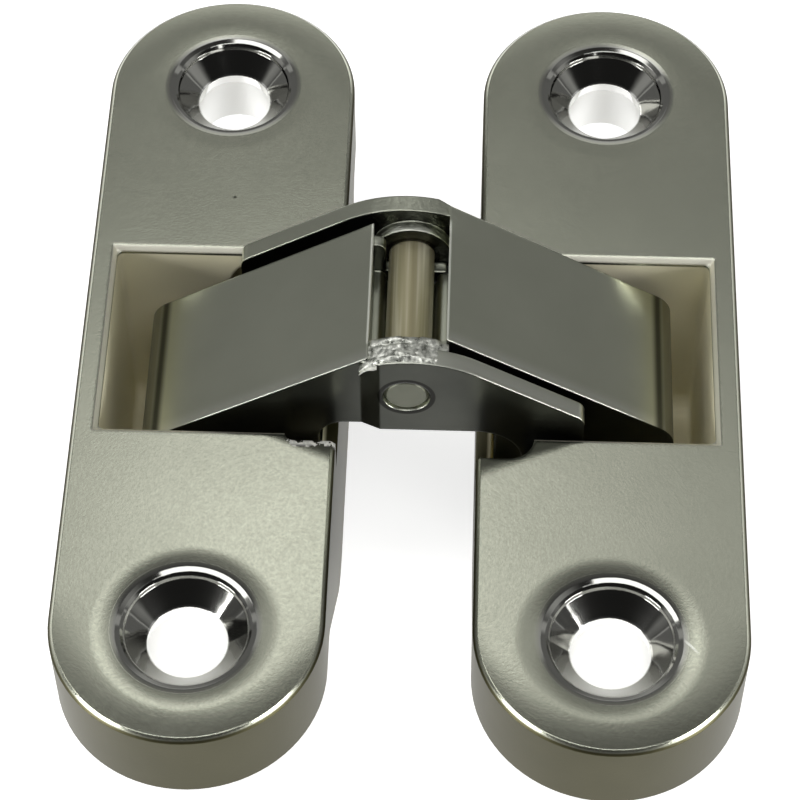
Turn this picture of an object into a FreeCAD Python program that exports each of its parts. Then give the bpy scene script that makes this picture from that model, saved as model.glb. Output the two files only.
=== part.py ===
import FreeCAD, Part
import math
import os

# Concealed hinge for furniture doors: two die-cast leaves joined by two crossed arms.
# X runs across the hinge, Y along the leaves and Z out of the faces, all in millimetres.
# The hinge is modelled fully open, with both faces in one plane and the deep boxes' backs at Z = 0.
# The right half of the hinge is the left half turned half a turn about Z.

# Leaf: plate, end pads and deep box
PLATE_LENGTH = 60.0
PLATE_WIDTH = 17.0
OPEN_GAP = 9.0
BODY_DEPTH = 17.2
PAD_THICKNESS = 6.0
BACK_FLAT = 11.0
SHOULDER_RADIUS = 6.0
RAMP_ANGLE = 47.0
FOOT_RADIUS = 2.2
FACE_CHAMFER = 0.3

# Screw holes
SCREW_SPACING = 44.0
SCREW_HOLE = 5.0
SINK_DIAMETER = 7.6
SINK_ANGLE = 90.0
SINK_LIP_DEPTH = 0.55
SINK_LIP_WIDTH = 0.9
SINK_LIP_BANDS = 4

# Pocket behind the window
WINDOW_LENGTH = 14.5
OUTER_WALL = 1.7
INNER_WALL = 1.0
INNER_WALL_DROP = 3.0
FLOOR = 0.8
WINDOW_CORNER = 0.4
WINDOW_BEVEL = 0.35
FLOOR_CORNER = 1.3

# Recess of the sliding bush in the pocket's end wall, and the mouth that it is fitted through
RECESS_DEPTH = 1.75
RECESS_REACH = 7.9
RECESS_TOP = 1.0
RECESS_ROUND = 2.6
RECESS_SIDE = 3.6
RECESS_HEEL = 5.45
MOUTH_WIDTH = 3.7
MOUTH_ROUND = 1.65
RELIEF_WIDTH = 3.3
RELIEF_DEPTH = 0.75
RELIEF_ROUND = 0.65
BORE_WALL = 0.35
NOTCH_ROOM = 0.3

# Pins and bushes
CENTRE_PIN = 3.0
PIVOT_PIN = 2.0
SLIDER_PIN = 1.6
BUSH_DIAMETER = 3.5
PIN_CHAMFER = 0.25
RIVET_HEAD = 2.9
RIVET_THICKNESS = 0.4
RIVET_CHAMFER = 0.15
BUSH_CHAMFER = 0.25
RUNNING = 0.05
END_PLAY = 0.1
PIVOT_BLIND = 2.2
PIVOT_SUNK = 0.6
PIN_SUNK = 0.1

# Linkage, measured from the face plane and from the leaf's inner edge
CENTRE_HEIGHT = 3.25
PIVOT_INSET = 3.2
PIVOT_DEPTH = 9.0
SLIDER_INSET = 4.9
SLIDER_DEPTH = 3.0

# Arms
STACK_HALF = 6.72
CHEEK_INNER = 5.49
WIDE_OUTER = 6.21
WIDE_INNER = 4.6
CRADLE_THICKNESS = 0.8
CRADLE_RADIUS = 2.35
BOSS_RADIUS = 2.6
NOTCH_HALF = 2.45
HUB_RADIUS = 2.0
SLIDER_END = 1.95
ARM_REACH = 17.45
ARM_BACK = 0.35
FRONT_ANGLE = 33.0
WIDE_APEX = 8.16
CHEEK_APEX = 8.52
CHEEK_START = 4.3
CHEEK_STEP_FOOT = 2.9
CHEEK_STEP_TOP = 1.7
APEX_ROUND = 7.75
NOSE_FRONT = 2.2
NOSE_HEIGHT = 1.9
NOSE_ROUND = 1.0
CHEEK_CORNER = 1.0
HOOK_ROUND = 1.8
CHEEK_HOOK_ROUND = 3.0
SADDLE_DROP = 0.6
SADDLE_INNER = 0.45
SADDLE_HEEL = 0.4
SADDLE_ROUND = 0.5
POST_HEIGHT = 2.05
POST_ROUND = 0.6
PIN_ROOM = 0.17
ROOT = 0.5

# Places that follow from the sizes above
INNER_EDGE = OPEN_GAP / 2
LEAF_MIDDLE = INNER_EDGE + PLATE_WIDTH / 2
FACE = BODY_DEPTH
WINDOW_END = WINDOW_LENGTH / 2
CRADLE_INNER = WIDE_INNER - CRADLE_THICKNESS
CENTRE = (0.0, FACE + CENTRE_HEIGHT)
PIVOT = (-INNER_EDGE - PIVOT_INSET, FACE - PIVOT_DEPTH)
SLIDER = (-INNER_EDGE - SLIDER_INSET, FACE - SLIDER_DEPTH)
BACK_LEVEL = FACE - ARM_BACK
RECESS_END = WINDOW_END + RECESS_DEPTH
RECESS_FLOOR = PIVOT[1] + PIVOT_PIN / 2 + BORE_WALL
OVERCUT = 1.0
TOUCH = 1e-6

UP = FreeCAD.Vector(0, 0, 1)
ALONG = FreeCAD.Vector(0, 1, 0)
ORIGIN = FreeCAD.Vector(0, 0, 0)


def rounded_wire(corners, place):
    """Closed wire through (u, v, radius) corners, each rounded by an arc of its own radius."""
    count = len(corners)
    starts, middles, ends = [], [], []
    for i in range(count):
        u, v, radius = corners[i]
        before, after = corners[i - 1], corners[(i + 1) % count]
        back = (before[0] - u, before[1] - v)
        ahead = (after[0] - u, after[1] - v)
        back_length, ahead_length = math.hypot(*back), math.hypot(*ahead)
        back = (back[0] / back_length, back[1] / back_length)
        ahead = (ahead[0] / ahead_length, ahead[1] / ahead_length)
        half = math.acos(max(-1.0, min(1.0, back[0] * ahead[0] + back[1] * ahead[1]))) / 2
        reach = radius / math.tan(half)
        starts.append((u + back[0] * reach, v + back[1] * reach))
        ends.append((u + ahead[0] * reach, v + ahead[1] * reach))
        bisector = (back[0] + ahead[0], back[1] + ahead[1])
        size = math.hypot(*bisector) or 1.0
        depth = radius / math.sin(half) - radius
        middles.append((u + bisector[0] / size * depth, v + bisector[1] / size * depth))
    edges = []
    for i in range(count):
        if corners[i][2] > 0:
            arc = Part.Arc(place(*starts[i]), place(*middles[i]), place(*ends[i]))
            edges.append(arc.toShape())
        leave, reach = place(*ends[i]), place(*starts[(i + 1) % count])
        if leave.distanceToPoint(reach) > TOUCH:
            edges.append(Part.LineSegment(leave, reach).toShape())
    return Part.Wire(edges)


def across_prism(corners, y_from, y_to):
    """Solid with an outline in X and Z, from one Y to another."""
    wire = rounded_wire(corners, lambda x, z: FreeCAD.Vector(x, y_from, z))
    return Part.Face(wire).extrude(FreeCAD.Vector(0, y_to - y_from, 0))


def along_prism(corners, x_from, x_to):
    """Solid with an outline in Y and Z, from one X to another."""
    wire = rounded_wire(corners, lambda y, z: FreeCAD.Vector(x_from, y, z))
    return Part.Face(wire).extrude(FreeCAD.Vector(x_to - x_from, 0, 0))


def block(x_from, x_to, y_from, y_to, z_from, z_to):
    """Box between two corners."""
    corner = FreeCAD.Vector(x_from, y_from, z_from)
    return Part.makeBox(x_to - x_from, y_to - y_from, z_to - z_from, corner)


def rod(centre, radius, y_from, y_to):
    """Cylinder along Y about a point of the X-Z plane."""
    start = FreeCAD.Vector(centre[0], y_from, centre[1])
    return Part.makeCylinder(radius, y_to - y_from, start, ALONG)


def pin(centre, diameter, y_from, y_to):
    """Pin along Y with a chamfer at both ends."""
    radius = diameter / 2
    ends = [
        (0, y_from),
        (radius - PIN_CHAMFER, y_from),
        (radius, y_from + PIN_CHAMFER),
        (radius, y_to - PIN_CHAMFER),
        (radius - PIN_CHAMFER, y_to),
        (0, y_to),
        (0, y_from),
    ]
    points = [FreeCAD.Vector(centre[0] + r, y, centre[1]) for r, y in ends]
    axis_point = FreeCAD.Vector(centre[0], 0, centre[1])
    return Part.Face(Part.makePolygon(points)).revolve(axis_point, ALONG, 360)


def half_turn(shape):
    """The same piece on the other half of the hinge."""
    turned = shape.copy()
    turned.rotate(ORIGIN, UP, 180)
    return turned


def round_edges(shape, radius, wanted):
    """Round the edges that the test picks."""
    edges = [edge for edge in shape.Edges if wanted(edge)]
    return shape.makeFillet(radius, edges)


def plate_outline(height):
    """Plate with half-round ends, raised from Z = 0."""
    straight = PLATE_LENGTH / 2 - PLATE_WIDTH / 2
    left, right = -INNER_EDGE - PLATE_WIDTH, -INNER_EDGE
    corners = [
        FreeCAD.Vector(left, -straight, 0),
        FreeCAD.Vector(right, -straight, 0),
        FreeCAD.Vector(right, straight, 0),
        FreeCAD.Vector(left, straight, 0),
    ]
    low = FreeCAD.Vector(-LEAF_MIDDLE, -PLATE_LENGTH / 2, 0)
    high = FreeCAD.Vector(-LEAF_MIDDLE, PLATE_LENGTH / 2, 0)
    edges = [
        Part.Arc(corners[0], low, corners[1]).toShape(),
        Part.LineSegment(corners[1], corners[2]).toShape(),
        Part.Arc(corners[2], high, corners[3]).toShape(),
        Part.LineSegment(corners[3], corners[0]).toShape(),
    ]
    return Part.Face(Part.Wire(edges)).extrude(UP * height)


def ramp_reach(level):
    """Distance along Y from the leaf's middle to its sloping ramp, at a level above the back."""
    slope = math.radians(RAMP_ANGLE)
    knee = BACK_FLAT / 2 + SHOULDER_RADIUS * math.tan(slope / 2)
    return knee + level / math.tan(slope)


def side_profile():
    """Side view of a leaf: end pads, ramps and the deep box between them."""
    under_pad = BODY_DEPTH - PAD_THICKNESS
    knee = ramp_reach(0)
    foot = ramp_reach(under_pad)
    end = PLATE_LENGTH / 2 + OVERCUT
    return [
        (-end, BODY_DEPTH, 0),
        (-end, under_pad, 0),
        (-foot, under_pad, FOOT_RADIUS),
        (-knee, 0, SHOULDER_RADIUS),
        (knee, 0, SHOULDER_RADIUS),
        (foot, under_pad, FOOT_RADIUS),
        (end, under_pad, 0),
        (end, BODY_DEPTH, 0),
    ]


def screw_cutter(y):
    """Countersunk screw hole with a rolled lip at the face."""
    hole = SCREW_HOLE / 2
    sink = SINK_DIAMETER / 2
    mouth = sink + SINK_LIP_WIDTH
    cone = math.tan(math.radians(SINK_ANGLE / 2))
    lip_foot = FACE - SINK_LIP_DEPTH
    cone_foot = lip_foot - (sink - hole) / cone
    above = FACE + OVERCUT

    def at(radius, z):
        return FreeCAD.Vector(-LEAF_MIDDLE + radius, y, z)

    points = [at(0, 0), at(hole, 0), at(hole, cone_foot)]
    for step in range(SINK_LIP_BANDS + 1):
        turn = step / SINK_LIP_BANDS * math.pi / 2
        lip_radius = mouth - SINK_LIP_WIDTH * math.cos(turn)
        points.append(at(lip_radius, lip_foot + SINK_LIP_DEPTH * math.sin(turn)))
    points += [at(mouth, above), at(0, above), at(0, 0)]
    return Part.Face(Part.makePolygon(points)).revolve(at(0, 0), UP, 360)


def is_upright(edge):
    """True for a straight edge along Z."""
    box = edge.BoundBox
    return box.XLength < TOUCH and box.YLength < TOUCH


def is_circle(edge):
    """True for an edge that is a whole circle."""
    return len(edge.Vertexes) == 1


def pocket_cutter():
    """The pocket that the arms fold into, open through the window and over the inner wall."""
    outer = -INNER_EDGE - PLATE_WIDTH + OUTER_WALL
    inner = -INNER_EDGE - INNER_WALL
    depth = [
        (-WINDOW_END, FACE + OVERCUT, 0),
        (-WINDOW_END, FLOOR, FLOOR_CORNER),
        (WINDOW_END, FLOOR, FLOOR_CORNER),
        (WINDOW_END, FACE + OVERCUT, 0),
    ]
    pocket = along_prism(depth, outer, inner)

    def is_outer_corner(edge):
        return is_upright(edge) and edge.CenterOfMass.x < -LEAF_MIDDLE

    pocket = round_edges(pocket, WINDOW_CORNER, is_outer_corner)
    sill = block(
        inner,
        -INNER_EDGE + OVERCUT,
        -WINDOW_END,
        WINDOW_END,
        FACE - INNER_WALL_DROP,
        FACE + OVERCUT,
    )
    return pocket.fuse(sill)


def bevel_cutter():
    """Bevel round the outer and end edges of the window."""
    left = -INNER_EDGE - PLATE_WIDTH + OUTER_WALL - WINDOW_BEVEL
    right = -INNER_EDGE - INNER_WALL
    reach = WINDOW_END + WINDOW_BEVEL
    low = FACE - WINDOW_BEVEL
    cut = block(left, right, -reach, reach, low, FACE + OVERCUT)
    edges = [
        edge
        for edge in cut.Edges
        if edge.BoundBox.ZMax < low + TOUCH and edge.BoundBox.XMin < right - TOUCH
    ]
    return cut.makeChamfer(WINDOW_BEVEL, edges)


def corner_cutter(width, side, depth, rounding, low):
    """Cut at an inner corner of the window, side 1 towards +Y or -1 towards -Y, with a curved end."""
    y_inner = side * (WINDOW_END - OVERCUT)
    y_outer = side * (WINDOW_END + depth)
    cut = block(
        -INNER_EDGE - width,
        -INNER_EDGE + OVERCUT,
        min(y_inner, y_outer),
        max(y_inner, y_outer),
        low,
        FACE + OVERCUT,
    )

    def is_outer_corner(edge):
        middle = edge.CenterOfMass
        return is_upright(edge) and middle.x < -INNER_EDGE and abs(middle.y) > WINDOW_END

    return round_edges(cut, rounding, is_outer_corner)


def recess_cutter():
    """Recess in the end wall for the sliding bush, open at the inner edge, and its mouth in the face."""
    left = -INNER_EDGE - RECESS_REACH
    top = FACE - RECESS_TOP
    beyond = -INNER_EDGE + OVERCUT
    outline = [
        (left, top, RECESS_ROUND),
        (left, top - RECESS_SIDE, RECESS_ROUND),
        (-INNER_EDGE - RECESS_HEEL, RECESS_FLOOR, BUSH_DIAMETER / 2),
        (beyond, RECESS_FLOOR, 0),
        (beyond, top, 0),
    ]
    recess = across_prism(outline, WINDOW_END - NOTCH_ROOM, RECESS_END)
    wall_notch = block(
        -INNER_EDGE - INNER_WALL - NOTCH_ROOM,
        beyond,
        CHEEK_INNER - RIVET_THICKNESS - NOTCH_ROOM,
        RECESS_END,
        RECESS_FLOOR,
        FACE - INNER_WALL_DROP + NOTCH_ROOM,
    )
    mouth = corner_cutter(MOUTH_WIDTH, 1, RECESS_DEPTH, MOUTH_ROUND, top - MOUTH_ROUND)
    return recess.fuse([wall_notch, mouth])


def make_leaf():
    """Left leaf, one casting."""
    left, right = -INNER_EDGE - PLATE_WIDTH - OVERCUT, -INNER_EDGE + OVERCUT
    body = plate_outline(BODY_DEPTH).common(along_prism(side_profile(), left, right))
    rim = [edge for edge in body.Edges if edge.BoundBox.ZMin > FACE - TOUCH]
    body = body.makeChamfer(FACE_CHAMFER, rim)
    cutters = [
        pocket_cutter(),
        bevel_cutter(),
        recess_cutter(),
        corner_cutter(RELIEF_WIDTH, -1, RELIEF_DEPTH, RELIEF_ROUND, FACE - INNER_WALL_DROP),
        screw_cutter(SCREW_SPACING / 2),
        screw_cutter(-SCREW_SPACING / 2),
    ]
    for cutter in cutters:
        body = body.cut(cutter)
    boss = rod(PIVOT, HUB_RADIUS, -WINDOW_END - NOTCH_ROOM, -WIDE_OUTER - END_PLAY)
    bore = rod(PIVOT, PIVOT_PIN / 2, -PLATE_LENGTH / 2, WINDOW_END + PIVOT_BLIND)
    return body.fuse(boss).cut(bore).removeSplitter()


def front_level(apex, x):
    """Level of a straight front at a distance from the middle, from the height of its apex."""
    return FACE + apex - x * math.tan(math.radians(FRONT_ANGLE))


def hub_tangent(nose_x, nose_z):
    """Corner under the pivot hub: the line from the nose touches the hub's circle there."""
    away_x, away_z = PIVOT[0] - nose_x, PIVOT[1] - nose_z
    distance = math.hypot(away_x, away_z)
    heading = math.atan2(away_z, away_x) - math.asin(HUB_RADIUS / distance)
    side_x = PIVOT[0] + HUB_RADIUS
    return side_x, nose_z + (side_x - nose_x) * math.tan(heading)


def wide_corners():
    """Outline of an arm's wide half, from the nose round the pivot hub and back to the middle."""
    nose_top = front_level(WIDE_APEX, ARM_REACH)
    nose_low = nose_top - NOSE_HEIGHT
    hub_x, hub_z = hub_tangent(-ARM_REACH, nose_low)
    return [
        (-NOTCH_HALF, front_level(WIDE_APEX, NOTCH_HALF), 0),
        (-ARM_REACH, nose_top, NOSE_FRONT),
        (-ARM_REACH, nose_low, NOSE_ROUND),
        (hub_x, hub_z, HUB_RADIUS),
        (hub_x, BACK_LEVEL, HOOK_ROUND),
        (-NOTCH_HALF, BACK_LEVEL, 0),
    ]


def cheek_corners():
    """Outline of the thin cheek over the centre pin and down to the sliding bush."""
    slope = math.tan(math.radians(FRONT_ANGLE))
    apex_x = (CHEEK_APEX - WIDE_APEX) / 2 / slope
    end = -SLIDER[0] + SLIDER_END
    leg = -SLIDER[0] - SLIDER_END
    foot = SLIDER[1] - SLIDER_END
    return [
        (-CHEEK_START, front_level(WIDE_APEX, CHEEK_START), 0),
        (apex_x, front_level(CHEEK_APEX, apex_x), APEX_ROUND),
        (end, front_level(CHEEK_APEX, end), CHEEK_CORNER),
        (end, foot, SLIDER_END),
        (leg, foot, SLIDER_END),
        (leg, BACK_LEVEL, CHEEK_HOOK_ROUND),
        (-CHEEK_START, BACK_LEVEL, 0),
    ]


def step_cutter():
    """Slanted step where the cheek stands out from the side of the wide half."""
    outline = [
        (-CHEEK_START - OVERCUT, -STACK_HALF - OVERCUT),
        (-CHEEK_START - OVERCUT, -WIDE_OUTER),
        (-CHEEK_STEP_FOOT, -WIDE_OUTER),
        (-CHEEK_STEP_TOP, -STACK_HALF),
        (-CHEEK_STEP_TOP, -STACK_HALF - OVERCUT),
    ]
    points = [FreeCAD.Vector(x, y, 0) for x, y in outline]
    return Part.Face(Part.makePolygon(points + points[:1])).extrude(UP * FACE * 2)


def saddle_corners():
    """Low ledge of the wide half beside and under the centre pin."""
    outer = -NOTCH_HALF - ROOT
    top = CENTRE[1] - SADDLE_DROP
    inner = -CENTRE_PIN / 2 - PIN_ROOM
    return [
        (outer, top, 0),
        (inner, top, SADDLE_ROUND),
        (inner, CENTRE[1] - CENTRE_PIN / 2, 0),
        (-SADDLE_INNER, BACK_LEVEL + SADDLE_HEEL, 0),
        (-SADDLE_INNER, BACK_LEVEL, 0),
        (outer, BACK_LEVEL, 0),
    ]


def make_cradle():
    """End of the wide half that carries the centre pin: half a ring under it and a post beside it."""
    outer = -NOTCH_HALF - ROOT
    inner = -CENTRE_PIN / 2 - PIN_ROOM
    level = CENTRE[1] - SADDLE_DROP
    top = CENTRE[1] + POST_HEIGHT
    reach = CRADLE_RADIUS + OVERCUT
    ring = rod(CENTRE, CRADLE_RADIUS, CRADLE_INNER, WIDE_INNER)
    ring = ring.cut(block(-reach, reach, CRADLE_INNER, WIDE_INNER, level, top + OVERCUT))
    foot = block(outer, 0, CRADLE_INNER, WIDE_INNER, BACK_LEVEL, level)
    post_corners = [
        (outer, top, 0),
        (inner, top, POST_ROUND),
        (inner, BACK_LEVEL, 0),
        (outer, BACK_LEVEL, 0),
    ]
    post = across_prism(post_corners, CRADLE_INNER, WIDE_INNER)
    return ring.fuse([foot, post])


def make_arm():
    """Left arm, one casting: a wide half in the left leaf and a thin cheek in the right one."""
    boss_end = -WIDE_INNER - RUNNING
    boss_start = -(STACK_HALF + CHEEK_INNER) / 2
    saddle_start = -CRADLE_INNER + END_PLAY
    saddle_end = WIDE_INNER - CRADLE_THICKNESS / 2
    wide = across_prism(wide_corners(), -WIDE_OUTER, WIDE_INNER)
    cheek = across_prism(cheek_corners(), -STACK_HALF, -CHEEK_INNER).cut(step_cutter())
    boss = rod(CENTRE, BOSS_RADIUS, boss_start, boss_end)
    boss_foot = block(-NOTCH_HALF - ROOT, 0, boss_start, boss_end, BACK_LEVEL, CENTRE[1])
    saddle = across_prism(saddle_corners(), saddle_start, saddle_end)
    passage = rod(CENTRE, NOTCH_HALF, boss_end, saddle_start)
    pin_room = rod(CENTRE, CENTRE_PIN / 2 + PIN_ROOM, -CRADLE_INNER, CRADLE_INNER)
    centre_bore = rod(CENTRE, CENTRE_PIN / 2, -STACK_HALF - OVERCUT, STACK_HALF)
    pivot_bore = rod(PIVOT, PIVOT_PIN / 2 + RUNNING, -STACK_HALF - OVERCUT, STACK_HALF)
    slider_bore = rod(slider_centre(), SLIDER_PIN / 2, -STACK_HALF - OVERCUT, 0)
    arm = wide.fuse([cheek, make_cradle(), boss, boss_foot, saddle])
    for cutter in (passage, pin_room, centre_bore, pivot_bore, slider_bore):
        arm = arm.cut(cutter)
    return arm.removeSplitter()


def make_right_arm(arm):
    """Right arm: the same casting, with a running fit on the centre pin."""
    bore = rod(CENTRE, CENTRE_PIN / 2 + RUNNING, -STACK_HALF - OVERCUT, STACK_HALF + OVERCUT)
    return half_turn(arm).cut(bore)


def make_centre_pin():
    """Pin that joins the two arms, pressed into the left one."""
    return pin(CENTRE, CENTRE_PIN, -STACK_HALF + PIN_SUNK, STACK_HALF - PIN_SUNK)


def make_pivot_pin():
    """Fixed pin of the left leaf, pressed into both end walls."""
    ramp = ramp_reach(PIVOT[1] - PIVOT_PIN / 2)
    return pin(PIVOT, PIVOT_PIN, -ramp + PIVOT_SUNK, WINDOW_END + PIVOT_BLIND)


def slider_centre():
    """Axis of the left arm's slider, which runs in the right leaf."""
    return (-SLIDER[0], SLIDER[1])


def make_slider_pin():
    """Short pin of the left arm's cheek, riveted inside and carrying the sliding bush."""
    centre = slider_centre()
    shank = pin(centre, SLIDER_PIN, -RECESS_END + END_PLAY * 2, -CHEEK_INNER + PIN_SUNK)
    head = rod(centre, RIVET_HEAD / 2, -CHEEK_INNER, -CHEEK_INNER + RIVET_THICKNESS)
    rim = [edge for edge in head.Edges if is_circle(edge) and edge.CenterOfMass.y > -CHEEK_INNER + TOUCH]
    head = head.makeChamfer(RIVET_CHAMFER, rim)
    return shank.fuse(head).removeSplitter()


def make_slide_bush():
    """Nylon bush on the slider pin, running in the right leaf's recess."""
    centre = slider_centre()
    y_from, y_to = -RECESS_END + END_PLAY, -STACK_HALF - RUNNING
    bush = rod(centre, BUSH_DIAMETER / 2, y_from, y_to)
    bush = bush.makeChamfer(BUSH_CHAMFER, [edge for edge in bush.Edges if is_circle(edge)])
    return bush.cut(rod(centre, SLIDER_PIN / 2 + RUNNING, y_from, y_to))


def main():
    os.makedirs("parts", exist_ok=True)
    leaf = make_leaf()
    arm = make_arm()
    pivot_pin = make_pivot_pin()
    slider_pin = make_slider_pin()
    slide_bush = make_slide_bush()
    pieces = {
        "leaf_left": leaf,
        "leaf_right": half_turn(leaf),
        "arm_left": arm,
        "arm_right": make_right_arm(arm),
        "centre_pin": make_centre_pin(),
        "pivot_pin_left": pivot_pin,
        "pivot_pin_right": half_turn(pivot_pin),
        "slider_pin_left_arm": slider_pin,
        "slider_pin_right_arm": half_turn(slider_pin),
        "slide_bush_left_arm": slide_bush,
        "slide_bush_right_arm": half_turn(slide_bush),
    }
    for name, shape in pieces.items():
        shape.exportStep(os.path.join("parts", name + ".step"))
        volume = round(shape.Volume, 2)
        print(name, "solids", len(shape.Solids), "valid", shape.isValid(), "volume", volume)
    return pieces


PIECES = main()
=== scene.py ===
import math

import bmesh
import bpy
from mathutils import Euler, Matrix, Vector, noise


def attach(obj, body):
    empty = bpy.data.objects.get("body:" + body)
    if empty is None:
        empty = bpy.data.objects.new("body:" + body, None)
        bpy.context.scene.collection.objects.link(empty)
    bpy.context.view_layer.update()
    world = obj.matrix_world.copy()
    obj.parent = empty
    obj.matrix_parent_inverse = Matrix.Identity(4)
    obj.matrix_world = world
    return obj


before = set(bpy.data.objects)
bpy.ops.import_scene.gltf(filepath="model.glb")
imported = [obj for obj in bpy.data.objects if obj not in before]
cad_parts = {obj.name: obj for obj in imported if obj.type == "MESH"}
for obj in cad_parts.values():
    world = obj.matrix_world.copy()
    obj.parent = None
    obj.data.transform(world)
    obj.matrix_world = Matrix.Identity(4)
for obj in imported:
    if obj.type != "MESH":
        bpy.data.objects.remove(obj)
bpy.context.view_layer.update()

# Sizes of the hinge that the materials follow, in metres
FACE = 0.0172
LEAF_MIDDLE = 0.013
SCREW_Y = 0.022
SINK_RADIUS = 0.0047
END_CENTRE = 0.0215
END_RADIUS = 0.0085
HOLE_RADIUS = 0.0025
WINDOW_INNER = 0.0052
WINDOW_OUTER = 0.0207
WINDOW_END = 0.0098
PIN_RADIUS = 0.0015
CRADLE_RADIUS = 0.0025
CENTRE = (0.0, 0.02045)
APEX_RADIUS = 0.00775
APEX_MIDDLE = (0.000277, 0.016299)
GATE_X = (-0.0030, 0.0026)
GATE_Y = (-0.00665, -0.00462)

# Marks and soft edges of the finish
GROOVE = (-0.0008, -0.00525)
SPECK = (-0.01222, 0.01189)
NICK = (0.0178, -0.02245)
RIM_WIDTH = 0.0026
DISH_RADIUS = 0.0060
DISH_WIDTH = 0.0013
FLOOR_HALF = 1.5

# Camera of the photograph
CAMERA_PLACE = (0.003414, -0.112052, 0.168347)
CAMERA_TURN = (35.4149, 0.1408, 1.8786)
LENS = 129.54


def new_material(name):
    material = bpy.data.materials.new(name)
    material.use_nodes = True
    nodes = material.node_tree.nodes
    nodes.clear()
    output = nodes.new("ShaderNodeOutputMaterial")
    shader = nodes.new("ShaderNodeBsdfPrincipled")
    material.node_tree.links.new(shader.outputs[0], output.inputs[0])
    return material, shader


class Graph:
    """Short calls for the nodes of one material."""

    def __init__(self, owner, coords="Object"):
        self.nodes = owner.node_tree.nodes
        self.links = owner.node_tree.links
        self.coords = self.nodes.new("ShaderNodeTexCoord").outputs[coords]

    def link(self, source, target):
        self.links.new(source, target)

    def put(self, value, socket):
        if isinstance(value, bpy.types.NodeSocket):
            self.links.new(value, socket)
        else:
            socket.default_value = value

    def math(self, operation, a, b=0.0, clamp=False):
        node = self.nodes.new("ShaderNodeMath")
        node.operation = operation
        node.use_clamp = clamp
        for value, socket in zip((a, b), node.inputs):
            self.put(value, socket)
        return node.outputs[0]

    def times(self, a, b):
        return self.math("MULTIPLY", a, b)

    def plus(self, a, b):
        return self.math("ADD", a, b)

    def minus(self, a, b):
        return self.math("SUBTRACT", a, b)

    def size(self, a):
        return self.math("ABSOLUTE", a)

    def distance(self, a, b):
        return self.math("SQRT", self.plus(self.times(a, a), self.times(b, b)))

    def bevel(self, radius):
        node = self.nodes.new("ShaderNodeBevel")
        node.samples = 6
        self.put(radius, node.inputs["Radius"])
        return node.outputs[0]

    def noise(self, scale, detail=2.0, roughness=0.5, stretch=(1, 1, 1)):
        mapping = self.nodes.new("ShaderNodeMapping")
        mapping.inputs["Scale"].default_value = stretch
        self.link(self.coords, mapping.inputs["Vector"])
        node = self.nodes.new("ShaderNodeTexNoise")
        node.inputs["Scale"].default_value = scale
        node.inputs["Detail"].default_value = detail
        node.inputs["Roughness"].default_value = roughness
        self.link(mapping.outputs[0], node.inputs["Vector"])
        return node.outputs["Fac"]

    def ramp(self, value, stops):
        node = self.nodes.new("ShaderNodeValToRGB")
        elements = node.color_ramp.elements
        while len(elements) < len(stops):
            elements.new(0.5)
        for element, (place, colour) in zip(elements, stops):
            element.position = place
            element.color = colour if len(colour) == 4 else (*colour, 1.0)
        self.link(value, node.inputs[0])
        return node.outputs[0]

    def two_tone(self, value, low, high):
        return self.ramp(value, [(0.3, low), (0.7, high)])

    def spread(self, value, low, high, to_low=0.0, to_high=1.0, kind="LINEAR"):
        node = self.nodes.new("ShaderNodeMapRange")
        node.interpolation_type = kind
        for socket, number in zip(node.inputs[1:5], (low, high, to_low, to_high)):
            self.put(number, socket)
        self.put(value, node.inputs[0])
        return node.outputs[0]

    def smooth(self, *values):
        return self.spread(*values, kind="SMOOTHSTEP")

    def mix(self, factor, a, b):
        node = self.nodes.new("ShaderNodeMix")
        node.data_type = "RGBA"
        self.put(factor, node.inputs["Factor"])
        self.put(a, node.inputs[6])
        self.put(b, node.inputs[7])
        return node.outputs[2]

    def blend_number(self, factor, a, b):
        node = self.nodes.new("ShaderNodeMix")
        node.data_type = "FLOAT"
        self.put(factor, node.inputs["Factor"])
        self.put(a, node.inputs[2])
        self.put(b, node.inputs[3])
        return node.outputs[0]

    def bump(self, height, strength, distance, normal=None):
        node = self.nodes.new("ShaderNodeBump")
        node.inputs["Strength"].default_value = strength
        node.inputs["Distance"].default_value = distance
        self.link(height, node.inputs["Height"])
        if normal is not None:
            self.link(normal, node.inputs["Normal"])
        return node.outputs[0]

    def place(self):
        node = self.nodes.new("ShaderNodeSeparateXYZ")
        self.link(self.coords, node.inputs[0])
        return node.outputs

    def facing(self):
        geometry = self.nodes.new("ShaderNodeNewGeometry")
        node = self.nodes.new("ShaderNodeSeparateXYZ")
        self.link(geometry.outputs["True Normal"], node.inputs[0])
        return node.outputs


def chipped_edge(graph, x, y, z):
    """Where the plating has chipped off below the left window, and the colour there."""
    band = graph.times(graph.smooth(y, -0.0090, -0.0082), graph.smooth(x, -0.0095, -0.0070))
    band = graph.times(band, graph.math("LESS_THAN", y, -0.0068))
    band = graph.times(band, graph.math("LESS_THAN", x, -0.0044))
    band = graph.times(band, graph.math("GREATER_THAN", z, FACE - 0.0006))
    chip = graph.math("GREATER_THAN", graph.times(graph.noise(1500.0, 3.0, 0.6), band), 0.44)
    fine = graph.noise(4200.0, 2.0, 0.5)
    flecks = graph.ramp(fine, [(0.48, (0.02, 0.02, 0.018)), (0.58, (0.62, 0.62, 0.55))])
    worn = graph.smooth(y, -0.0085, -0.0082, 0.0, 0.75)
    return chip, graph.mix(worn, flecks, (0.72, 0.72, 0.66, 1.0))


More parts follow.
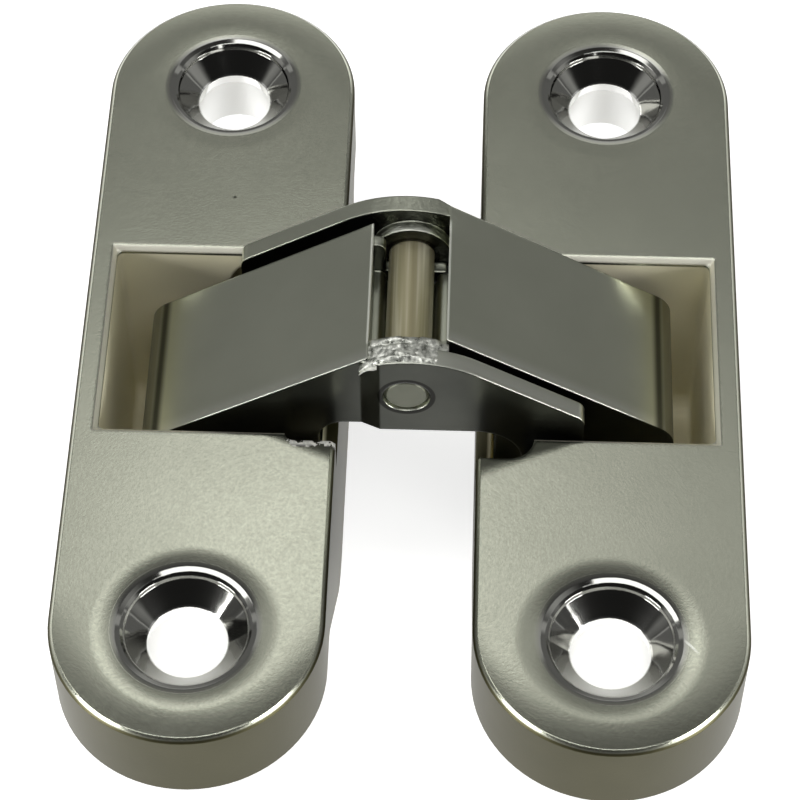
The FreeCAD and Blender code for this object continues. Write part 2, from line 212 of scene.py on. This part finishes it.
def add_marks(graph, x, y, colour):
    """A speck on the left face and a nick by the right screw hole."""
    off_speck = graph.distance(graph.minus(x, SPECK[0]), graph.minus(y, SPECK[1]))
    speck = graph.times(graph.smooth(off_speck, 0.00016, 0.00006), 0.7)
    colour = graph.mix(speck, colour, (0.10, 0.10, 0.08, 1.0))
    a = graph.minus(x, NICK[0])
    b = graph.minus(y, NICK[1])
    off_line = graph.size(graph.plus(graph.times(a, 0.74), graph.times(b, 0.67)))
    along = graph.size(graph.minus(graph.times(a, 0.67), graph.times(b, 0.74)))
    thin = graph.smooth(off_line, 0.00012, 0.00003)
    nick = graph.times(thin, graph.smooth(along, 0.0008, 0.0, 0.0, 0.75))
    return graph.mix(nick, colour, (0.97, 0.99, 0.92, 1.0))


def leaf_material():
    """Satin nickel faces with a painted highlight on the window edges, bright countersinks, and a dull
    cast skin on the walls and in the pocket; the walls' dark colour is painted shade and the pocket's
    bright colour is painted light.
    """
    material, shader = new_material("leaf_satin_nickel")
    graph = Graph(material)
    x, y, z = graph.place()
    side = graph.size(x)
    end = graph.size(y)
    grain = graph.noise(5500.0, 3.0, 0.6)
    cloud = graph.noise(120.0, 3.0, 0.5)
    across = graph.minus(side, LEAF_MIDDLE)
    along = graph.minus(end, SCREW_Y)
    reach = graph.distance(across, along)
    front_side = graph.math("GREATER_THAN", z, FACE - 0.0025)
    in_sink = graph.spread(reach, SINK_RADIUS - 0.0003, SINK_RADIUS + 0.0001, 1.0, 0.0)
    in_sink = graph.times(in_sink, front_side)
    beyond = graph.math("MAXIMUM", graph.minus(end, END_CENTRE), 0.0)
    to_rim = graph.minus(END_RADIUS, graph.distance(across, beyond))
    from_inner = graph.spread(side, WINDOW_INNER, WINDOW_INNER + 0.0003)
    to_outer = graph.spread(side, WINDOW_OUTER - 0.0003, WINDOW_OUTER, 1.0, 0.0)
    to_end = graph.spread(end, WINDOW_END - 0.0003, WINDOW_END, 1.0, 0.0)
    window = graph.times(graph.times(from_inner, to_outer), to_end)
    skin = graph.blend_number(window, -0.00020, -0.00060)
    deep = graph.spread(graph.minus(z, FACE), skin, graph.plus(skin, 0.00012), 1.0, 0.0)
    pocket = graph.times(deep, window)
    # Painted highlight: a thin bright, rough band on the window edges just below the face.
    above = graph.spread(z, FACE - 0.00042, FACE - 0.0003)
    below = graph.spread(z, FACE - 0.00008, FACE - 0.00002, 1.0, 0.0)
    window_edge_highlight = graph.times(graph.times(above, below), window)
    in_hole = graph.spread(reach, HOLE_RADIUS + 0.00012, HOLE_RADIUS + 0.00005)

    face = graph.two_tone(cloud, (0.53, 0.545, 0.445), (0.57, 0.585, 0.48))
    # Painted shade: the walls' near-black colour stands in for the dark reflections on the box sides.
    wall = graph.two_tone(cloud, (0.061, 0.057, 0.030), (0.078, 0.073, 0.041))
    # The pocket's matte inside gets a brightened colour, painted light that offsets the shade in the
    # recess.
    inside = graph.two_tone(cloud, (0.86, 0.81, 0.58), (0.92, 0.87, 0.66))
    colour = graph.mix(deep, face, wall)
    colour = graph.mix(pocket, colour, inside)
    # Painted highlight: the bright colour of the window edges.
    colour = graph.mix(window_edge_highlight, colour, (0.95, 0.93, 0.80, 1.0))
    colour = graph.mix(in_sink, colour, (0.38, 0.38, 0.355, 1.0))
    colour = graph.mix(in_hole, colour, (0.94, 0.94, 0.92, 1.0))
    colour = add_marks(graph, x, y, colour)
    chip, chip_colour = chipped_edge(graph, x, y, z)
    colour = graph.mix(chip, colour, chip_colour)
    graph.link(colour, shader.inputs["Base Color"])
    metal = graph.blend_number(pocket, 1.0, 0.1)
    graph.link(graph.blend_number(chip, metal, 0.2), shader.inputs["Metallic"])
    satin = graph.spread(grain, 0.3, 0.7, 0.17, 0.22)
    dull = graph.blend_number(deep, satin, 0.42)
    dull = graph.blend_number(pocket, dull, 0.6)
    dull = graph.blend_number(graph.math("MAXIMUM", window_edge_highlight, chip), dull, 0.5)
    graph.link(graph.blend_number(in_sink, dull, 0.08), shader.inputs["Roughness"])

    curve = graph.smooth(end, END_CENTRE - 0.002, END_CENTRE + 0.005)
    rim = graph.math("DIVIDE", graph.minus(RIM_WIDTH, to_rim), RIM_WIDTH, clamp=True)
    rim = graph.times(graph.times(rim, rim), curve)
    dish = graph.math("DIVIDE", graph.minus(DISH_RADIUS, reach), DISH_WIDTH, clamp=True)
    dish = graph.times(graph.times(dish, dish), front_side)
    dish = graph.times(dish, graph.spread(y, -0.001, 0.001, 1.0, 0.35))
    height = graph.plus(graph.times(rim, -0.00013), graph.times(dish, -0.00008))
    roll = graph.blend_number(window, 0.00008, 0.00030)
    normal = graph.bump(height, 1.0, 1.0, graph.bevel(roll))
    peel = graph.blend_number(in_sink, grain, 0.5)
    graph.link(graph.bump(peel, 1.0, 0.0000035, normal), shader.inputs["Normal"])
    return material


def arm_material(name, near_edge):
    """Satin nickel with sides painted dark as painted shade, painted highlights along the -Y edge and
    the notch edges, and painted shade at the nose bend and round the pin; near_edge is the wide half's
    side towards -Y.
    """
    material, shader = new_material(name)
    graph = Graph(material)
    x, y, z = graph.place()
    facing = graph.facing()
    side = graph.size(x)
    grain = graph.noise(2600.0, 3.0, 0.55)
    cloud = graph.noise(180.0, 3.0, 0.5)
    front = graph.two_tone(cloud, (0.51, 0.53, 0.435), (0.555, 0.575, 0.475))
    # Painted highlight: a light band along the wide half's -Y edge, where the rounded edge catches
    # light.
    near = graph.smooth(y, near_edge, near_edge + 0.0012, 0.42, 0.0)
    front = graph.mix(near, front, (0.85, 0.86, 0.80, 1.0))
    nose = graph.smooth(side, 0.0166, 0.0169)
    front = graph.mix(nose, front, (0.30, 0.295, 0.23, 1.0))
    # Painted shade: a dark line at the bend between the front and the nose's rounding.
    nose_bend_shade = graph.times(graph.smooth(side, 0.0159, 0.0164), graph.smooth(side, 0.0169, 0.0165))
    front = graph.mix(graph.times(nose_bend_shade, 0.92), front, (0.05, 0.05, 0.045, 1.0))
    # Painted highlight: a thin bright, rougher line along the notch edges beside the pin.
    notch_highlight_line = graph.smooth(side, 0.00262, 0.00256)
    beside = graph.times(notch_highlight_line, graph.smooth(graph.size(y), 0.0052, 0.0048))
    beside = graph.times(beside, graph.smooth(z, FACE + 0.0052, FACE + 0.0056))
    front = graph.mix(beside, front, (0.90, 0.92, 0.82, 1.0))
    # Painted shade: faces turned towards -Y or +Y get a near-black colour, standing in for the dark
    # reflections on the arms' sides.
    sideways = graph.smooth(graph.size(facing[1]), 0.5, 0.8)
    flank = graph.two_tone(cloud, (0.040, 0.042, 0.036), (0.062, 0.064, 0.055))
    colour = graph.mix(sideways, front, flank)
    # Painted shade: a near-black ring round the pin's end on the side faces, for the shade in the
    # groove round the pin.
    around = graph.distance(x, graph.minus(z, CENTRE[1]))
    inner = graph.smooth(around, PIN_RADIUS + 0.00002, PIN_RADIUS + 0.00010)
    outer = graph.smooth(around, PIN_RADIUS + 0.00038, PIN_RADIUS + 0.00030)
    pin_gap_shade = graph.times(graph.times(inner, outer), sideways)
    colour = graph.mix(pin_gap_shade, colour, (0.012, 0.012, 0.010, 1.0))
    graph.link(colour, shader.inputs["Base Color"])
    shader.inputs["Metallic"].default_value = 1.0
    rough = graph.blend_number(beside, 0.28, 0.45)
    graph.link(graph.blend_number(nose, rough, 0.5), shader.inputs["Roughness"])
    far = graph.times(graph.smooth(y, 0.0040, 0.0047), graph.smooth(side, 0.0036, 0.0024))
    cast = graph.times(far, graph.noise(1100.0, 3.0, 0.6))
    normal = graph.bump(cast, 1.0, 0.00012, graph.bevel(0.0002))
    graph.link(graph.bump(grain, 1.0, 0.0000007, normal), shader.inputs["Normal"])
    return material


def steel_material():
    material, shader = new_material("pin_drawn_steel")
    graph = Graph(material)
    facing = graph.facing()
    # Streaks along the pin: draw marks whose light stops also paint highlight streaks.
    streaks_and_sheen = graph.noise(1700.0, 2.0, 0.5, (1.0, 0.03, 1.0))
    colour = graph.ramp(streaks_and_sheen, [
        (0.35, (0.40, 0.36, 0.22)),
        (0.5, (0.50, 0.46, 0.30)),
        (0.66, (0.80, 0.76, 0.60)),
    ])
    end = graph.smooth(graph.size(facing[1]), 0.3, 0.6)
    colour = graph.mix(end, colour, (0.115, 0.12, 0.09, 1.0))
    graph.link(colour, shader.inputs["Base Color"])
    shader.inputs["Metallic"].default_value = 0.6
    graph.link(graph.spread(streaks_and_sheen, 0.3, 0.7, 0.36, 0.44), shader.inputs["Roughness"])
    graph.link(graph.bump(streaks_and_sheen, 0.6, 0.00001), shader.inputs["Normal"])
    return material


def nylon_material():
    material, shader = new_material("bush_dark_nylon")
    graph = Graph(material)
    grain = graph.noise(1200.0, 3.0, 0.6)
    colour = graph.two_tone(grain, (0.045, 0.045, 0.045), (0.07, 0.07, 0.068))
    graph.link(colour, shader.inputs["Base Color"])
    graph.link(graph.spread(grain, 0.3, 0.7, 0.42, 0.55), shader.inputs["Roughness"])
    graph.link(graph.bump(grain, 0.2, 0.00003), shader.inputs["Normal"])
    return material


def gate_material():
    """Rough broken gate of the casting."""
    material, shader = new_material("gate_rough_cast")
    graph = Graph(material)
    lumps = graph.noise(2200.0, 4.0, 0.65)
    colour = graph.ramp(lumps, [(0.35, (0.22, 0.23, 0.20)), (0.6, (0.80, 0.81, 0.74))])
    graph.link(colour, shader.inputs["Base Color"])
    shader.inputs["Metallic"].default_value = 0.9
    graph.link(graph.spread(lumps, 0.3, 0.7, 0.22, 0.45), shader.inputs["Roughness"])
    graph.link(graph.bump(lumps, 1.0, 0.00011), shader.inputs["Normal"])
    return material


def gate_level(x, y):
    """Level of the rough gate over the front knuckle, from the cheek's round top."""
    top = APEX_MIDDLE[1] + math.sqrt(APEX_RADIUS ** 2 - (x - APEX_MIDDLE[0]) ** 2)
    coarse = noise.fractal(Vector((x * 900.0, y * 900.0, 3.1)), 0.7, 2.1, 3)
    fine = noise.noise(Vector((x * 3800.0, y * 3800.0, 8.4)))
    from_left = min(1.0, max(0.0, (x - GATE_X[0]) / 0.0004))
    to_right = min(1.0, max(0.0, (GATE_X[1] - x) / 0.0008))
    ends = from_left * to_right
    groove = math.exp(-((y - GROOVE[1]) / 0.00012) ** 2) * math.exp(-((x - GROOVE[0]) / 0.0011) ** 4)
    back = min(1.0, (GATE_Y[1] - y) / 0.00035)
    front = min(1.0, (y - GATE_Y[0]) / 0.0003)
    swell = 0.00012 + 0.00028 * max(0.0, 1.0 - ((x + 0.0003) / 0.0026) ** 2)
    lift = swell * min(back, front) ** 0.5 * ends
    rough = (0.00012 * coarse + 0.00006 * fine) * ends
    return top - 0.00012 + lift + rough - 0.00022 * groove - (1 - ends) * 0.0003


def add_gate():
    """Rough remains of the casting gate on the knuckle beside the centre pin."""
    across, along = 72, 34
    points, faces = [], []
    for i in range(across + 1):
        x = GATE_X[0] + (GATE_X[1] - GATE_X[0]) * i / across
        for j in range(along + 1):
            y = GATE_Y[0] + (GATE_Y[1] - GATE_Y[0]) * j / along
            points.append((x, y, gate_level(x, y)))
    for i in range(across):
        for j in range(along):
            k = i * (along + 1) + j
            faces.append((k, k + along + 1, k + along + 2, k + 1))
    rim = [i * (along + 1) for i in range(across + 1)]
    rim += [across * (along + 1) + j for j in range(1, along + 1)]
    rim += [i * (along + 1) + along for i in range(across - 1, -1, -1)]
    rim += [j for j in range(along - 1, 0, -1)]
    first = len(points)
    for k in rim:
        x, y, z = points[k]
        foot = CENTRE[1] + math.sqrt(max(0.0, CRADLE_RADIUS ** 2 - x * x)) - 0.0002
        points.append((x, y, min(z - 0.0001, foot) if y > -0.0056 else z - 0.0004))
    count = len(rim)
    for i in range(count):
        after = (i + 1) % count
        faces.append((rim[i], first + i, first + after, rim[after]))
    faces.append(tuple(first + i for i in range(count - 1, -1, -1)))
    mesh = bpy.data.meshes.new("gate")
    mesh.from_pydata(points, [], faces)
    mesh.validate()
    form = bmesh.new()
    form.from_mesh(mesh)
    bmesh.ops.triangulate(form, faces=[face for face in form.faces if len(face.verts) > 4])
    bmesh.ops.recalc_face_normals(form, faces=form.faces)
    form.to_mesh(mesh)
    form.free()
    for polygon in mesh.polygons:
        polygon.use_smooth = True
    mesh.materials.append(gate_material())
    gate = bpy.data.objects.new("casting_gate", mesh)
    bpy.context.scene.collection.objects.link(gate)
    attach(gate, "arm_left")


def dress(name, material):
    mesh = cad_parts[name].data
    mesh.materials.clear()
    mesh.materials.append(material)
    for polygon in mesh.polygons:
        polygon.material_index = 0


def floor_and_light():
    mesh = bpy.data.meshes.new("floor")
    half = FLOOR_HALF
    corners = [(-half, -half, 0), (half, -half, 0), (half, half, 0), (-half, half, 0)]
    mesh.from_pydata(corners, [], [(0, 1, 2, 3)])
    floor = bpy.data.objects.new("floor", mesh)
    floor.location.z = -0.00002
    bpy.context.scene.collection.objects.link(floor)
    material, shader = new_material("pale_floor")
    shader.inputs["Base Color"].default_value = (0.86, 0.86, 0.85, 1.0)
    shader.inputs["Roughness"].default_value = 0.7
    graph = Graph(material)
    path = graph.nodes.new("ShaderNodeLightPath")
    x, y, z = graph.place()
    close = graph.smooth(graph.distance(x, y), 0.10, 0.35, 1.0, 0.0)
    mirrored = graph.times(path.outputs["Is Glossy Ray"], close)
    seen = graph.math("MAXIMUM", path.outputs["Is Camera Ray"], mirrored)
    seen = graph.math("MAXIMUM", seen, path.outputs["Is Transmission Ray"])
    shader.inputs["Emission Color"].default_value = (1.0, 1.0, 1.0, 1.0)
    graph.link(graph.times(seen, 0.76), shader.inputs["Emission Strength"])
    mesh.materials.append(material)

    light_world()
    middle = (0.0, 0.0, 0.0)
    add_lamp("left", (-0.55, -0.35, 0.14), middle, 0.30, 0.20, 2.4)
    add_lamp("right", (0.55, -0.35, 0.14), middle, 0.30, 0.20, 2.4)
    add_lamp("upper", (-0.08, -0.12, 0.62), middle, 0.95, 0.26, 2.3)


def light_world():
    """Studio round the hinge: dim grey walls, and one bright panel above and behind it."""
    world = bpy.data.worlds.new("studio")
    bpy.context.scene.world = world
    world.use_nodes = True
    world.node_tree.nodes.clear()
    output = world.node_tree.nodes.new("ShaderNodeOutputWorld")
    background = world.node_tree.nodes.new("ShaderNodeBackground")
    world.node_tree.links.new(background.outputs[0], output.inputs[0])
    graph = Graph(world, "Generated")
    x, y, z = graph.place()
    lean = graph.math("ARCTAN2", y, z)
    low = graph.smooth(lean, math.radians(26.5), math.radians(29.0))
    high = graph.smooth(lean, math.radians(37.0), math.radians(35.0))
    beside = graph.size(graph.plus(x, 0.05))
    width = graph.spread(beside, 0.11, 0.0, 0.23, 1.0)
    panel = graph.times(graph.times(low, high), width)
    back = graph.smooth(lean, math.radians(-20.0), math.radians(29.0), 0.02, 0.11)
    walls = graph.smooth(lean, math.radians(32.0), math.radians(42.0), 0.0, 0.10)
    grey = graph.plus(back, walls)
    near = graph.smooth(z, 0.55, 0.10, 0.0, 1.0)
    front = graph.times(near, graph.smooth(y, 0.2, -0.2, 0.0, 0.14))
    flank = graph.times(graph.smooth(graph.size(x), 0.35, 0.6), graph.smooth(z, 0.2, 0.45))
    upright = graph.smooth(graph.size(lean), math.radians(30.0), math.radians(10.0), 0.0, 0.45)
    flank = graph.times(flank, upright)
    rear_low = graph.smooth(lean, math.radians(47.0), math.radians(54.0))
    rear_high = graph.smooth(lean, math.radians(80.0), math.radians(60.0))
    from_middle = graph.size(graph.plus(x, 0.03))
    rear_width = graph.smooth(from_middle, 0.35, 0.12, 0.0, 0.6)
    rear = graph.times(graph.times(rear_low, rear_high), rear_width)
    front = graph.plus(graph.plus(front, flank), rear)
    level = graph.plus(graph.plus(grey, front), graph.times(panel, 1.95))
    graph.link(level, background.inputs["Strength"])
    background.inputs["Color"].default_value = (1.0, 1.0, 0.985, 1.0)


def add_lamp(name, place, target, width, height, power):
    data = bpy.data.lights.new(name, "AREA")
    data.shape = "RECTANGLE"
    data.size = width
    data.size_y = height
    data.energy = power
    lamp = bpy.data.objects.new(name, data)
    lamp.location = place
    aim = Vector(target) - Vector(place)
    lamp.rotation_euler = aim.to_track_quat("-Z", "Y").to_euler()
    bpy.context.scene.collection.objects.link(lamp)


def add_camera():
    data = bpy.data.cameras.new("camera")
    data.lens = LENS
    data.sensor_width = 36.0
    data.clip_start = 0.005
    camera = bpy.data.objects.new("camera", data)
    camera.location = CAMERA_PLACE
    camera.rotation_euler = Euler([math.radians(angle) for angle in CAMERA_TURN], "XYZ")
    bpy.context.scene.collection.objects.link(camera)
    bpy.context.scene.camera = camera


LEAF = leaf_material()
ARMS = {
    "arm_left": arm_material("arm_left_satin_nickel", -0.00621),
    "arm_right": arm_material("arm_right_satin_nickel", -0.0046),
}
STEEL = steel_material()
NYLON = nylon_material()
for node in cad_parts:
    if node.startswith("leaf"):
        dress(node, LEAF)
    elif node.startswith("arm"):
        dress(node, ARMS[node])
    elif "pin" in node:
        dress(node, STEEL)
    else:
        dress(node, NYLON)

add_gate()
add_camera()
floor_and_light()
bpy.context.scene.view_settings.view_transform = "Standard"
